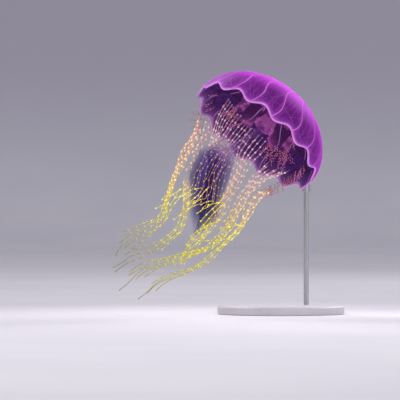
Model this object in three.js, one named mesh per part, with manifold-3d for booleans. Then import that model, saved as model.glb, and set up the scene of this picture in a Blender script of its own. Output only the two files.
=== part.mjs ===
// A life-size jellyfish on a plain display stand. Millimetres, +Z up.
// The origin is the centre of the underside of the stand's base.
//
// The animal is modelled upright in its own frame and then leaned over: there the bell's axis is +Z,
// the plane of its margin is z = 0, and everything that trails hangs towards -Z.
// Angles round the axis are in radians from the animal's +X, and -Y is the side that faces the viewer.
import * as THREE from "three";
import { mergeVertices } from "three/addons/utils/BufferGeometryUtils.js";
import Module from "manifold-3d";

const wasm = await Module();
wasm.setup();

const { PI, sin, cos, acos, sqrt, floor, min, max } = Math;
const radians = THREE.MathUtils.degToRad;
const lerp = THREE.MathUtils.lerp;

// Driving dimensions

const gap = 0.35; // clearance kept between pieces that touch

const bell = {
  radius: 100, // of the margin, outside
  height: 79, // from the plane of the margin to the crown, outside
  wallAtMargin: 2.4,
  wallAtCrown: 10,
  lobes: 14,
  lobeTurn: radians(2.3), // angle of the first notch between two lobes
  lobeMean: 1, // height of the margin's middle line
  lobeWave: 4.6, // rise to a notch and drop to a lobe's tip
  cutHeight: 30, // where the dome is parted from the margin
};

// The bell's axis leans sideways and away from the viewer, so that its mouth opens towards them.
const pose = { away: radians(20), sideways: radians(40.8) };
const marginCentre = new THREE.Vector3(-36, -24, 246);

// The line that everything trailing follows, from inside the bell to the tips. Each row is a distance
// along it, the point there, the half widths of the ring of tentacles round it, and how far that ring
// is tipped up at its +X side, in degrees.
const trail = [
  { s: -60, x: 0, y: 0, z: 60, wide: 86, deep: 86, tip: 0 },
  { s: 0, x: 0, y: 0, z: 0, wide: 80, deep: 80, tip: 0 },
  { s: 52, x: -6, y: 0, z: -52, wide: 70, deep: 66, tip: 4 },
  { s: 97, x: 2, y: 3, z: -95, wide: 62, deep: 52, tip: 11 },
  { s: 136, x: 18, y: 7, z: -130, wide: 54, deep: 44, tip: 18 },
  { s: 169, x: 20, y: 18, z: -161, wide: 50, deep: 38, tip: 13 },
  { s: 204, x: 12, y: 33, z: -192, wide: 45, deep: 33, tip: 2 },
  { s: 237, x: -2, y: 50, z: -217, wide: 41, deep: 28, tip: -9 },
  { s: 278, x: -8, y: 74, z: -250, wide: 34, deep: 22, tip: -22 },
  { s: 296, x: -6, y: 85, z: -264, wide: 30, deep: 18, tip: -25 },
];

const tentacles = {
  clusters: 8,
  reach: [280, 288, 228, 292, 276, 184, 160, 188], // distance to the longest tip of each cluster
  parting: 118, // where the upper lengths end and the lower ones begin
  rootRadius: 1.3,
  tipRadius: 0.45,
  sides: 3,
  step: 19, // length of one straight piece of a strand
  sway: { size: 3.5, acrossLength: 135, deepLength: 155 }, // of a whole cluster
  wander: { size: 0.7, length: 70 }, // of each strand on its own
  unevenness: 0.13, // how much shorter than the longest a cluster's other strands may be
  shortest: 96, // distances between which the short strands end
  shortestLong: 130,
  long: { counts: [4, 4, 4, 4, 4, 2, 2, 2], spread: radians(10), ring: 1, start: -30 },
  short: { counts: [3, 3, 3, 3, 3, 1, 1, 1], spread: radians(10), ring: 0.86, start: -39 },
};

const pad = { halfAngle: radians(18), low: 20, high: 43, taper: 7, thick: 7, clearance: 1.1 };
const gonad = { count: 4, ring: 44, halfLength: 15, halfWidth: 18, thick: 5 };
gonad.sweep = radians(125); // how far the horseshoe reaches round each way
gonad.hem = { height: 17, wave: 3, turn: 2.3 };
const stomach = { radius: 27, lobing: 0.16, bottom: 52 };
const manubrium = { topRadius: 15, waist: 10, mouthRadius: 15, bottom: 18, lobing: 0.14 };
const arm = { count: 4, parting: 70, end: 168, turn: radians(45), coil: 0.0042, core: 3, step: 11 };
arm.start = gap - manubrium.bottom;
arm.shift = { x: -12, over: 60 };
arm.ruffle = { size: 5, length: 42, turn: 1.9, over: 40 };
arm.halfThick = { root: 1.2, middle: 0.9, edge: 0.5 };

// Fine strands that hang from a collar round the mouth, between the oral arms.
const filaments = { quarters: 4, perQuarter: 3, spread: radians(17), radius: 0.9, collarThick: 3 };
filaments.collar = { low: 15, high: 22, clear: 0.6 };
filaments.reach = [116, 124, 156, 148]; // to the longest tip of each quarter

const stand = { baseRadius: 88, baseHeight: 12, bevel: 2, rodRadius: 3.5 };
stand.saddle = { radius: 12, thick: 3, reach: 8 };
stand.boss = { radius: 5.5, below: 20, above: 12 }; // the socket that joins the rod to the saddle
stand.touchHeight = 18; // above the plane of the margin, on the bell's lowest meridian

// Materials

const paint = (color, roughness, opacity = 1) =>
  new THREE.MeshStandardMaterial({ color, roughness, metalness: 0, opacity, transparent: opacity < 1 });

const colours = {
  bell: paint(0x9a3bb4, 0.25, 0.85),
  stomach: paint(0xb06ac4, 0.35, 0.9),
  gonad: paint(0xd463c0, 0.45),
  arm: paint(0x4a3f9c, 0.35, 0.85),
  upper: paint(0xe8bfa0, 0.4),
  lower: paint(0xc9c23c, 0.4),
  base: paint(0xc9c6cd, 0.45),
  rod: new THREE.MeshStandardMaterial({ color: 0xb8bcc0, roughness: 0.3, metalness: 1 }),
};

// Small tools

// A repeatable number from 0 to 1 for each pair of whole numbers.
function chance(a, b) {
  const x = sin(a * 12.9898 + b * 78.233 + 3.7) * 43758.5453;
  return x - floor(x);
}

const ease = (x) => {
  const t = min(1, max(0, x));
  return t * t * (3 - 2 * t);
};

// A smooth value of one column of a table of rows, at distance s.
function along(rows, column, s) {
  const last = rows.length - 1;
  let i = 0;
  while (i < last - 1 && s > rows[i + 1].s) i++;
  const slope = (j) => {
    const a = rows[max(0, j - 1)];
    const b = rows[min(last, j + 1)];
    return (b[column] - a[column]) / (b.s - a.s);
  };
  const span = rows[i + 1].s - rows[i].s;
  const t = (s - rows[i].s) / span;
  const [t2, t3] = [t * t, t * t * t];
  return (
    (2 * t3 - 3 * t2 + 1) * rows[i][column] +
    (t3 - 2 * t2 + t) * span * slope(i) +
    (3 * t2 - 2 * t3) * rows[i + 1][column] +
    (t3 - t2) * span * slope(i + 1)
  );
}

const polar = (radius, angle, z) => new THREE.Vector3(radius * cos(angle), radius * sin(angle), z);

// A closed surface through rings of points with the same count. A ring of one point is a pole, other
// ends are closed with a fan, and a looped one joins its last ring to its first.
function loft(rings, looped = false) {
  const points = [];
  const faces = [];
  const starts = rings.map((ring) => points.push(...ring) - ring.length);
  const pairs = looped ? rings.length : rings.length - 1;
  for (let r = 0; r < pairs; r++) {
    const [a, b] = [rings[r], rings[(r + 1) % rings.length]];
    const [ia, ib] = [starts[r], starts[(r + 1) % rings.length]];
    const n = max(a.length, b.length);
    for (let k = 0; k < n; k++) {
      const next = (k + 1) % n;
      if (a.length > 1) faces.push(ia + k, ia + next, b.length > 1 ? ib + k : ib);
      if (b.length > 1) faces.push(a.length > 1 ? ia + next : ia, ib + next, ib + k);
    }
  }
  const fan = (ring, start, flip) => {
    for (let k = 1; k < ring.length - 1; k++)
      faces.push(...(flip ? [start, start + k + 1, start + k] : [start, start + k, start + k + 1]));
  };
  if (!looped) {
    fan(rings[0], starts[0], true);
    fan(rings.at(-1), starts.at(-1), false);
  }
  const geometry = new THREE.BufferGeometry().setFromPoints(points);
  geometry.setIndex(faces);
  return facingOut(geometry);
}

// Turns every face round if the closed surface is inside out.
function facingOut(geometry) {
  const position = geometry.getAttribute("position");
  const index = geometry.index.array;
  const [a, b, c] = [new THREE.Vector3(), new THREE.Vector3(), new THREE.Vector3()];
  let volume = 0;
  for (let i = 0; i < index.length; i += 3) {
    a.fromBufferAttribute(position, index[i]);
    b.fromBufferAttribute(position, index[i + 1]);
    c.fromBufferAttribute(position, index[i + 2]);
    volume += a.dot(b.cross(c));
  }
  if (volume < 0)
    for (let i = 0; i < index.length; i += 3) [index[i + 1], index[i + 2]] = [index[i + 2], index[i + 1]];
  return geometry;
}

function solidOf(geometry) {
  const bare = new THREE.BufferGeometry().setAttribute("position", geometry.getAttribute("position"));
  bare.setIndex(geometry.index);
  const merged = mergeVertices(bare, 1e-4);
  return new wasm.Manifold(
    new wasm.Mesh({
      numProp: 3,
      vertProperties: merged.attributes.position.array,
      triVerts: new Uint32Array(merged.index.array),
    }),
  );
}

function geometryOf(solid) {
  const { vertProperties, triVerts } = solid.getMesh();
  const geometry = new THREE.BufferGeometry();
  geometry.setAttribute("position", new THREE.BufferAttribute(vertProperties, 3));
  geometry.setIndex(new THREE.BufferAttribute(triVerts, 1));
  return geometry;
}

function named(name, geometry, material) {
  const flat = geometry.toNonIndexed();
  flat.computeVertexNormals();
  const mesh = new THREE.Mesh(flat, material);
  mesh.name = name;
  return mesh;
}

const turns = (count) => Array.from({ length: count }, (_, k) => (2 * PI * k) / count);

// The bell

// Semi-axes of the bell's outer and inner surfaces. Grown by a clearance, the wall is thicker both ways.
const outside = (grow = 0) => ({ across: bell.radius + grow, up: bell.height + grow });
const inside = (grow = 0) => ({
  across: bell.radius - bell.wallAtMargin - grow,
  up: bell.height - bell.wallAtCrown - grow,
});

const marginHeight = (angle) => bell.lobeMean + bell.lobeWave * cos(bell.lobes * (angle - bell.lobeTurn));
const radiusAt = (surface, z) => surface.across * sqrt(max(0, 1 - (z / surface.up) ** 2));

// The point of a surface that is the share t of the way from height `from` to height `to`.
function wallPoint(surface, angle, from, to, t) {
  const z = surface.up * cos(lerp(acos(min(1, from / surface.up)), acos(to / surface.up), t));
  return polar(radiusAt(surface, z), angle, z);
}

// The dome above the cut, as one closed shell.
function domeGeometry(grow = 0, count = 56) {
  const floorAt = bell.cutHeight + gap / 2 - grow;
  const shell = (surface, rows) =>
    rows.map((t) => turns(count).map((angle) => wallPoint(surface, angle, surface.up, floorAt, t)));
  return loft([
    [new THREE.Vector3(0, 0, outside(grow).up)],
    ...shell(outside(grow), [0.2, 0.4, 0.6, 0.8, 1]),
    ...shell(inside(grow), [1, 0.8, 0.55, 0.28]),
    [new THREE.Vector3(0, 0, inside(grow).up)],
  ]);
}

// The margin below the cut, with its lobes, as one closed ring.
function marginGeometry(grow = 0) {
  const top = bell.cutHeight - gap / 2 + grow;
  const rings = turns(bell.lobes * 5).map((angle) => {
    const bottom = marginHeight(angle) - grow;
    const wall = (surface, rows) => rows.map((t) => wallPoint(surface, angle, top, bottom, t));
    return [...wall(outside(grow), [0, 0.5, 1]), ...wall(inside(grow), [1, 0.5, 0])];
  });
  return loft(rings, true);
}

// What rests against the inner wall is cut by a wall that is thicker by the gap.
const thickDome = solidOf(domeGeometry(gap));
const thickMargin = solidOf(marginGeometry(gap));
const clearOfBell = (solid) => solid.subtract(thickDome).subtract(thickMargin);

// What hangs from the crown

function stomachGeometry() {
  const rows = [
    { radius: 0.8, z: 70 },
    { radius: 1, z: 61 },
    { radius: 0.85, z: 55.5 },
    { radius: 0.56, z: stomach.bottom },
  ];
  const lobed = (angle) => stomach.radius * (1 + stomach.lobing * cos(4 * angle));
  const rings = rows.map(({ radius, z }) => turns(16).map((angle) => polar(radius * lobed(angle), angle, z)));
  return geometryOf(clearOfBell(solidOf(loft(rings))));
}

function manubriumGeometry() {
  const rows = [
    { radius: manubrium.topRadius, z: stomach.bottom - gap },
    { radius: manubrium.waist, z: 40 },
    { radius: manubrium.waist, z: 30 },
    { radius: manubrium.mouthRadius, z: manubrium.bottom },
  ];
  const rings = rows.map(({ radius, z }) =>
    turns(12).map((angle) => polar(radius * (1 + manubrium.lobing * cos(4 * angle + PI)), angle, z)),
  );
  return loft(rings);
}

// A ruffled curtain on a horseshoe line, open towards the axis.
function gonadGeometry(k) {
  const steps = 12;
  const middle = arm.turn + (2 * PI * k) / gonad.count;
  const upright = new THREE.Vector3(0, 0, 1);
  const rings = [];
  for (let i = 0; i <= steps; i++) {
    const sweep = lerp(-gonad.sweep, gonad.sweep, i / steps);
    const ruffle = sin(i * gonad.hem.turn + k);
    const at = (offset, z) => {
      const outward = gonad.ring + (gonad.halfLength + offset) * cos(sweep);
      const sideways = (gonad.halfWidth + offset) * sin(sweep);
      return new THREE.Vector3(outward, sideways, z).applyAxisAngle(upright, middle);
    };
    const hem = gonad.hem.height + gonad.hem.wave * ruffle;
    const half = gonad.thick / 2;
    const roof = inside().up * sqrt(1 - (at(0, 0).length() / inside().across) ** 2) + 2; // into the wall
    rings.push([at(-half, hem), at(half + ruffle, hem), at(half, roof), at(-half, roof)]);
  }
  return geometryOf(clearOfBell(solidOf(loft(rings))));
}

// Oral arms

const trailPoint = (s) => new THREE.Vector3(along(trail, "x", s), along(trail, "y", s), along(trail, "z", s));

// The middle of the oral arms, which drifts to one side of the trailing line.
const armLine = (s) => trailPoint(s).add(new THREE.Vector3(arm.shift.x * ease(s / arm.shift.over), 0, 0));

// Width of an oral arm along the trailing line.
const armRows = [
  { s: -18, width: 11 },
  { s: 18, width: 22 },
  { s: 60, width: 27 },
  { s: 115, width: 20 },
  { s: 168, width: 5 },
];

// One length of a ruffled ribbon that stands out from the trailing line, thin at its outer edge.
function armGeometry(k, from, to) {
  const steps = Math.round((to - from) / arm.step);
  const { root, middle, edge } = arm.halfThick;
  const rings = [];
  for (let i = 0; i <= steps; i++) {
    const s = lerp(from, to, i / steps);
    const width = along(armRows, "width", s);
    const angle = arm.turn + (2 * PI * k) / arm.count + arm.coil * s;
    const [out, side] = [polar(1, angle, 0), polar(1, angle + PI / 2, 0)];
    const fullness = arm.ruffle.size * ease((s - arm.start) / arm.ruffle.over);
    const wave = fullness * sin((2 * PI * s) / arm.ruffle.length + arm.ruffle.turn * k);
    const at = (share, thick) =>
      armLine(s)
        .addScaledVector(out, arm.core + width * share)
        .addScaledVector(side, wave * share ** 1.5 + thick);
    rings.push([at(0, -root), at(0.55, -middle), at(1, -edge), at(1, edge), at(0.55, middle), at(0, root)]);
  }
  return loft(rings);
}

// Tentacles

// How far a cluster's strands stand apart: drawn together where the trail bends, then loose again.
const gatherRows = [
  { s: -60, share: 1 },
  { s: 70, share: 1 },
  { s: 150, share: 0.58 },
  { s: 230, share: 1.15 },
  { s: 290, share: 1.3 },
];

// How far the fine strands stand out from the middle of the oral arms.
const filamentRows = [
  { s: -22, radius: 19 },
  { s: 20, radius: 24 },
  { s: 70, radius: 30 },
  { s: 160, radius: 27 },
];

// The strands nearest the viewer swing sideways past this distance.
const swing = { start: 112, length: 42, x: -22, y: -3, z: 12 };

// How much of the swing a strand at this angle round the axis takes at distance s.
const swingAt = (angle, s) => ease(-sin(angle) * 1.6) * ease((s - swing.start) / swing.length);

function strandPoint(cluster, row, index, s) {
  const middle = (2 * PI * cluster) / tentacles.clusters;
  const share = along(gatherRows, "share", s);
  const angle = middle + (index - (row.counts[cluster] - 1) / 2) * row.spread * share;
  const ring = 1 - (1 - row.ring) * share;
  const { sway, wander } = tentacles;
  const loose = ease(s / tentacles.parting);
  const phase = (a, b) => 2 * PI * chance(a, b);
  const swayX = sway.size * sin((2 * PI * s) / sway.acrossLength + phase(cluster, 1));
  const swayY = sway.size * sin((2 * PI * s) / sway.deepLength + phase(cluster, 2));
  const own = wander.size * sin((2 * PI * s) / wander.length + phase(cluster * 11 + index, row.start));
  const near = swingAt(middle, s);
  const across = along(trail, "wide", s) * ring * cos(angle);
  const tipped = radians(along(trail, "tip", s));
  return trailPoint(s).add(
    new THREE.Vector3(
      across * cos(tipped) + loose * (swayX + own) + near * swing.x,
      along(trail, "deep", s) * ring * sin(angle) + loose * (swayY - own) + near * swing.y,
      across * sin(tipped) + near * swing.z,
    ),
  );
}

// Where a strand ends. The second of a cluster's long strands is its longest.
function tipOf(cluster, row, index) {
  if (row === tentacles.short)
    return lerp(tentacles.shortest, tentacles.shortestLong, chance(cluster * 5 + index, 9));
  const shorter = index === 1 ? 0 : tentacles.unevenness * chance(cluster * 7 + index, 5);
  return tentacles.reach[cluster] * (1 - shorter);
}

// A ring of points round a centre, square to a direction.
function ringRound(centre, forward, radius, sides) {
  const across = new THREE.Vector3(1, 0, 0).addScaledVector(forward, -forward.x).normalize();
  const other = forward.clone().cross(across);
  return turns(sides).map((angle) =>
    centre
      .clone()
      .addScaledVector(across, radius * cos(angle))
      .addScaledVector(other, radius * sin(angle)),
  );
}

// A tapering strand along the line at(s), which would reach its full length at distance tip.
function strandGeometry(at, from, to, tip, rootRadius) {
  const steps = max(2, Math.round((to - from) / tentacles.step));
  const rings = [];
  for (let i = 0; i <= steps; i++) {
    const s = lerp(from, to, i / steps);
    const forward = at(s + 1).sub(at(s - 1)).normalize();
    const radius = lerp(rootRadius, tentacles.tipRadius, ease(s / tip));
    rings.push(ringRound(at(s), forward, radius, tentacles.sides));
  }
  return loft(rings);
}

// The crescent of tissue under the bell that one cluster grows from.
function padGeometry(cluster) {
  const steps = 5;
  const rings = [];
  for (let i = 0; i <= steps; i++) {
    const t = (2 * i) / steps - 1;
    const angle = (2 * PI * cluster) / tentacles.clusters + t * pad.halfAngle;
    const [low, high] = [pad.low + pad.taper * t * t, pad.high - pad.taper * t * t];
    const outer = inside(pad.clearance);
    const inner = inside(pad.thick);
    const at = (surface, z) => polar(radiusAt(surface, z), angle, z);
    const mid = (low + high) / 2;
    const heights = [low, mid, high];
    rings.push([...heights.map((z) => at(outer, z)), ...heights.reverse().map((z) => at(inner, z))]);
  }
  return loft(rings);
}

function upperGeometry(cluster) {
  let solid = solidOf(padGeometry(cluster));
  for (const row of [tentacles.long, tentacles.short])
    for (let index = 0; index < row.counts[cluster]; index++) {
      const at = (s) => strandPoint(cluster, row, index, s);
      const tip = tipOf(cluster, row, index);
      const end = row === tentacles.long ? tentacles.parting - gap : tip;
      solid = solid.add(solidOf(strandGeometry(at, row.start, end, tip, tentacles.rootRadius)));
    }
  return geometryOf(solid);
}

// The line of one fine strand between two oral arms.
function filamentPoint(quarter, index, s) {
  const offset = (index - (filaments.perQuarter - 1) / 2) * filaments.spread;
  const angle = (2 * PI * quarter) / filaments.quarters + offset + arm.coil * s;
  const radius = along(filamentRows, "radius", s);
  const near = swingAt(angle, s);
  return armLine(s)
    .add(polar(radius, angle, 0))
    .add(new THREE.Vector3(near * swing.x, near * swing.y, near * swing.z));
}

// One quarter of the collar with the strands that hang from it.
function filamentGeometry(quarter) {
  const steps = 6;
  const { low, high, clear } = filaments.collar;
  const inner = manubrium.mouthRadius * (1 + manubrium.lobing) + clear;
  const outer = inner + filaments.collarThick;
  const half = PI / filaments.quarters - gap / inner;
  const rings = [];
  for (let i = 0; i <= steps; i++) {
    const angle = (2 * PI * quarter) / filaments.quarters + lerp(-half, half, i / steps);
    const [innerFoot, outerFoot] = [polar(inner, angle, low), polar(outer, angle, low)];
    rings.push([innerFoot, outerFoot, polar(outer, angle, high), polar(inner, angle, high)]);
  }
  let solid = solidOf(loft(rings));
  for (let index = 0; index < filaments.perQuarter; index++) {
    const at = (s) => filamentPoint(quarter, index, s);
    const tip = filaments.reach[quarter] * (1 - tentacles.unevenness * chance(quarter, index));
    solid = solid.add(solidOf(strandGeometry(at, -high + 2, tip, tip, filaments.radius)));
  }
  return geometryOf(solid);
}

// The stand

function baseGeometry() {
  const { baseRadius: r, baseHeight: h, bevel: b } = stand;
  const profile = [
    [0, 0],
    [r - b / 2, 0],
    [r, b / 2],
    [r, h - b],
    [r - b, h],
    [0, h],
  ].map(([x, y]) => new THREE.Vector2(x, y));
  return new THREE.LatheGeometry(profile, 40).rotateX(PI / 2);
}

// A cylinder between two points, as a closed solid.
function rodSolid(from, to, radius, sides) {
  const forward = to.clone().sub(from).normalize();
  return solidOf(loft([ringRound(from, forward, radius, sides), ringRound(to, forward, radius, sides)]));
}

// A full ellipsoid round the bell, in the part's frame.
function ellipsoidSolid(grow, matrix) {
  const surface = outside(grow);
  const rings = [];
  for (let i = 1; i < 24; i++) {
    const z = surface.up * cos((PI * i) / 24);
    rings.push(turns(56).map((angle) => polar(radiusAt(surface, z), angle, z)));
  }
  const [top, bottom] = [new THREE.Vector3(0, 0, surface.up), new THREE.Vector3(0, 0, -surface.up)];
  return solidOf(loft([[top], ...rings, [bottom]]).applyMatrix4(matrix));
}

// Assembly

const part = new THREE.Group();
const animal = new THREE.Group();
animal.position.copy(marginCentre);
animal.rotation.set(-pose.away, pose.sideways, 0, "YXZ");
part.add(animal);
part.updateMatrixWorld(true);

animal.add(named("bell_dome", domeGeometry(), colours.bell));
animal.add(named("bell_margin", marginGeometry(), colours.bell));
animal.add(named("stomach", stomachGeometry(), colours.stomach));
animal.add(named("manubrium", manubriumGeometry(), colours.stomach));
for (let k = 0; k < gonad.count; k++) animal.add(named(`gonad_${k + 1}`, gonadGeometry(k), colours.gonad));
for (let k = 0; k < arm.count; k++) {
  animal.add(named(`oral_arm_${k + 1}_upper`, armGeometry(k, arm.start, arm.parting - gap), colours.arm));
  animal.add(named(`oral_arm_${k + 1}_lower`, armGeometry(k, arm.parting, arm.end), colours.arm));
}
for (let quarter = 0; quarter < filaments.quarters; quarter++)
  animal.add(named(`oral_filaments_${quarter + 1}`, filamentGeometry(quarter), colours.upper));
for (let cluster = 0; cluster < tentacles.clusters; cluster++) {
  animal.add(named(`tentacles_${cluster + 1}_upper`, upperGeometry(cluster), colours.upper));
  for (let index = 0; index < tentacles.long.counts[cluster]; index++) {
    const at = (s) => strandPoint(cluster, tentacles.long, index, s);
    const tip = tipOf(cluster, tentacles.long, index);
    const lower = strandGeometry(at, tentacles.parting, tip, tip, tentacles.rootRadius);
    animal.add(named(`tentacle_${cluster + 1}_${index + 1}_lower`, lower, colours.lower));
  }
}

// The saddle touches the bell's lowest meridian, and a straight rod carries it from the base.
const down = new THREE.Vector3(0, 0, -1).applyQuaternion(animal.quaternion.clone().invert());
const touchAngle = Math.atan2(down.y, down.x);
const touchRadius = radiusAt(outside(), stand.touchHeight);
const touch = polar(touchRadius, touchAngle, stand.touchHeight).applyMatrix4(animal.matrixWorld);
const outward = polar(touchRadius / bell.radius ** 2, touchAngle, stand.touchHeight / bell.height ** 2);
outward.transformDirection(animal.matrixWorld);
const clearBell = ellipsoidSolid(gap, animal.matrixWorld);
const shell = ellipsoidSolid(gap + stand.saddle.thick, animal.matrixWorld).subtract(clearBell);
const plug = rodSolid(
  touch.clone().addScaledVector(outward, -stand.saddle.reach),
  touch.clone().addScaledVector(outward, stand.saddle.reach),
  stand.saddle.radius,
  18,
);
const above = (height) => new THREE.Vector3(touch.x, touch.y, height);
const rodTop = touch.z - stand.boss.below;
const boss = rodSolid(above(rodTop), above(touch.z + stand.boss.above), stand.boss.radius, 12);
const saddle = shell.intersect(plug).add(boss.subtract(clearBell));
const rod = rodSolid(above(stand.baseHeight + gap), above(rodTop - gap), stand.rodRadius, 16);
part.add(named("stand_base", baseGeometry(), colours.base));
part.add(named("stand_rod", geometryOf(rod), colours.rod));
part.add(named("stand_saddle", geometryOf(saddle), colours.rod));

export default part;
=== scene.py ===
import math

import bpy
import numpy as np
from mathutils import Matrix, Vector


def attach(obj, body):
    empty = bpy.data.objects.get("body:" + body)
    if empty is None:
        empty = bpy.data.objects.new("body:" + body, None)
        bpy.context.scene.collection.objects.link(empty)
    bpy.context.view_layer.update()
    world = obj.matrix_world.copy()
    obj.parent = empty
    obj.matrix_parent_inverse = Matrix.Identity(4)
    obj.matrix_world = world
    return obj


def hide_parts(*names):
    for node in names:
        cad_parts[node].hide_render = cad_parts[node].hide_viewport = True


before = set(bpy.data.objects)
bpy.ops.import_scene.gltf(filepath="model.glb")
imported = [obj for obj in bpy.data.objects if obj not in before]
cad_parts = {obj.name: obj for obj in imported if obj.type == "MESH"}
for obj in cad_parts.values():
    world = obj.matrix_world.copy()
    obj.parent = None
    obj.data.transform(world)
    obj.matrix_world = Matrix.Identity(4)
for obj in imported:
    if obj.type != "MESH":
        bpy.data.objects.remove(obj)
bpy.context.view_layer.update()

# A jellyfish on a plain display stand. The animal is shaped upright in its own frame, in millimetres:
# the bell's axis is +Z, its margin lies in z = 0, and -Y is its front.
pose = {
    "away": 20,  # degrees that the bell leans towards the back
    "sideways": 40.8,  # and towards +X
    "marginCentre": (-36, -24, 246),
}


def addObject(name, data):
    made = bpy.data.objects.new(name, data)
    bpy.context.scene.collection.objects.link(made)
    return made


# Camera, stage and light

view = {
    "distance": 5.0,  # a long lens, so that nothing looks foreshortened
    "span": 0.5556,  # metres across the frame at the animal
    "middle": (-0.1124, 0.1585),  # X and Z in the frame's middle
}


def makeCamera():
    data = bpy.data.cameras.new("camera")
    data.sensor_width = 36
    data.lens = data.sensor_width * view["distance"] / view["span"]
    data.clip_end = 60
    camera = addObject("camera", data)
    camera.location = (view["middle"][0], -view["distance"], view["middle"][1])
    camera.rotation_euler = (math.radians(90), 0, 0)
    bpy.context.scene.camera = camera


makeCamera()
bpy.context.scene.view_settings.view_transform = "Standard"  # keeps the strong purples and yellows


# Shader helpers


def newMaterial(name):
    material = bpy.data.materials.new(name)
    material.use_nodes = True
    material.node_tree.nodes.clear()
    return material, material.node_tree


def addNode(tree, kind, **settings):
    made = tree.nodes.new(kind)
    for key, value in settings.items():
        setattr(made, key, value)
    return made


def link(tree, source, target):
    tree.links.new(source, target)


def give(tree, socket, value):  # a link, a colour as text, or a plain value
    if isinstance(value, bpy.types.NodeSocket):
        link(tree, value, socket)
    else:
        socket.default_value = linear(value) if isinstance(value, str) else value


def giveAll(tree, node, values):
    for name, value in values.items():
        give(tree, node.inputs[name.replace("_", " ")], value)


def maths(tree, operation, *values):
    made = addNode(tree, "ShaderNodeMath", operation=operation)
    for socket, value in zip(made.inputs, values):
        give(tree, socket, value)
    return made.outputs[0]


def times(tree, first, second):
    return maths(tree, "MULTIPLY", first, second)


def attribute(tree, name, kind="Fac"):
    return addNode(tree, "ShaderNodeAttribute", attribute_name=name).outputs[kind]


def linear(text):
    parts = [int(text[i : i + 2], 16) / 255 for i in (1, 3, 5)]
    return [c / 12.92 if c <= 0.04045 else ((c + 0.055) / 1.055) ** 2.4 for c in parts] + [1]


def ramp(tree, factor, stops, smooth=True):
    made = addNode(tree, "ShaderNodeValToRGB")
    made.color_ramp.interpolation = "EASE" if smooth else "LINEAR"
    elements = made.color_ramp.elements
    while len(elements) < len(stops):
        elements.new(0.5)
    for element, (at, colour) in zip(elements, stops):
        element.position = at
        element.color = linear(colour) if isinstance(colour, str) else (colour, colour, colour, 1)
    link(tree, factor, made.inputs["Fac"])
    return made.outputs["Color"]


def mixColour(tree, factor, first, second, blend="MIX"):
    made = addNode(tree, "ShaderNodeMix", data_type="RGBA", blend_type=blend)
    for i, value in ((0, factor), (6, first), (7, second)):
        give(tree, made.inputs[i], value)
    return made.outputs[2]


def surface(material, **values):  # gives the material its shader and hands it back
    tree = material.node_tree
    shader = addNode(tree, "ShaderNodeBsdfPrincipled")
    output = addNode(tree, "ShaderNodeOutputMaterial")
    link(tree, shader.outputs[0], output.inputs["Surface"])
    giveAll(tree, shader, values)
    return material


# Every jelly finish paints a glow: its body colour is given again as emission at the glow strength, so the
# tissue shines though it is no lamp.
def jelly(material, body, alpha, gloss, glow, normal, base=None, rough=0.5, **more):
    return surface(
        material,
        Base_Color=body if base is None else base,
        Roughness=rough,
        Alpha=alpha,
        IOR=1.34,
        Specular_IOR_Level=gloss,
        Emission_Color=body,
        Emission_Strength=glow,
        Normal=normal,
        **more,
    )


def bump(tree, height, strength, distance):
    made = addNode(tree, "ShaderNodeBump")
    giveAll(tree, made, {"Strength": strength, "Distance": distance, "Height": height})
    return made.outputs[0]


def newGroup(name, **inputs):  # None makes a vector input; each group puts out one mask
    group = bpy.data.node_groups.new(name, "ShaderNodeTree")
    for label, value in inputs.items():
        kind = "NodeSocketVector" if value is None else "NodeSocketFloat"
        socket = group.interface.new_socket(label, in_out="INPUT", socket_type=kind)
        if value is not None:
            socket.default_value = value
    group.interface.new_socket("Mask", in_out="OUTPUT", socket_type="NodeSocketFloat")
    return group, addNode(group, "NodeGroupInput").outputs, addNode(group, "NodeGroupOutput").inputs["Mask"]


def place(tree, group, **values):
    made = addNode(tree, "ShaderNodeGroup", node_tree=group)
    giveAll(tree, made, values)
    return made.outputs["Mask"]


# Fine fibres that run one way through the jelly: noise drawn out along the third coordinate.
def makeFibres():
    group, given, mask = newGroup("fibres", Along=None, Fineness=30.0, Length=3.0, Waver=0.4)
    split = addNode(group, "ShaderNodeSeparateXYZ")
    link(group, given["Along"], split.inputs[0])
    joined = addNode(group, "ShaderNodeCombineXYZ")
    for i, scale in enumerate(("Fineness", "Fineness", "Length")):
        link(group, times(group, split.outputs[i], given[scale]), joined.inputs[i])
    noise = addNode(group, "ShaderNodeTexNoise")
    values = {"Scale": 1, "Detail": 4, "Vector": joined.outputs[0], "Distortion": given["Waver"]}
    giveAll(group, noise, values)
    link(group, noise.outputs["Fac"], mask)
    return group


# Even fine grain, the same all round.
def makeGrain():
    group, given, mask = newGroup("grain", Where=None, Fineness=500.0)
    noise = addNode(group, "ShaderNodeTexNoise")
    giveAll(group, noise, {"Detail": 3, "Vector": given["Where"], "Scale": given["Fineness"]})
    link(group, noise.outputs["Fac"], mask)
    return group


fibres, grain = makeFibres(), makeGrain()


# Draws fibres into a colour between two strengths, as deep as the share says.
def fibred(tree, body, streak, shape, low, high, share, colour):
    fineness, length, waver = shape
    thread = place(tree, fibres, Along=streak, Fineness=fineness, Length=length, Waver=waver)
    strength = ramp(tree, thread, [(low, 0.0), (high, share)])
    return thread, mixColour(tree, strength, body, colour)


def objectPlace(tree):
    return addNode(tree, "ShaderNodeTexCoord").outputs["Object"]


# Stage

studio = {
    "floorRadius": 6.5,  # flat out to here, beyond where the camera ever stands
    "turnRadius": 2.0,  # of the curve between floor and wall
    "wallHeight": 5.5,
    "wall": "#c0bdc9",  # the paper shades from the pale floor to this
    "world": ("#efeef4", 0.8),
}


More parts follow.
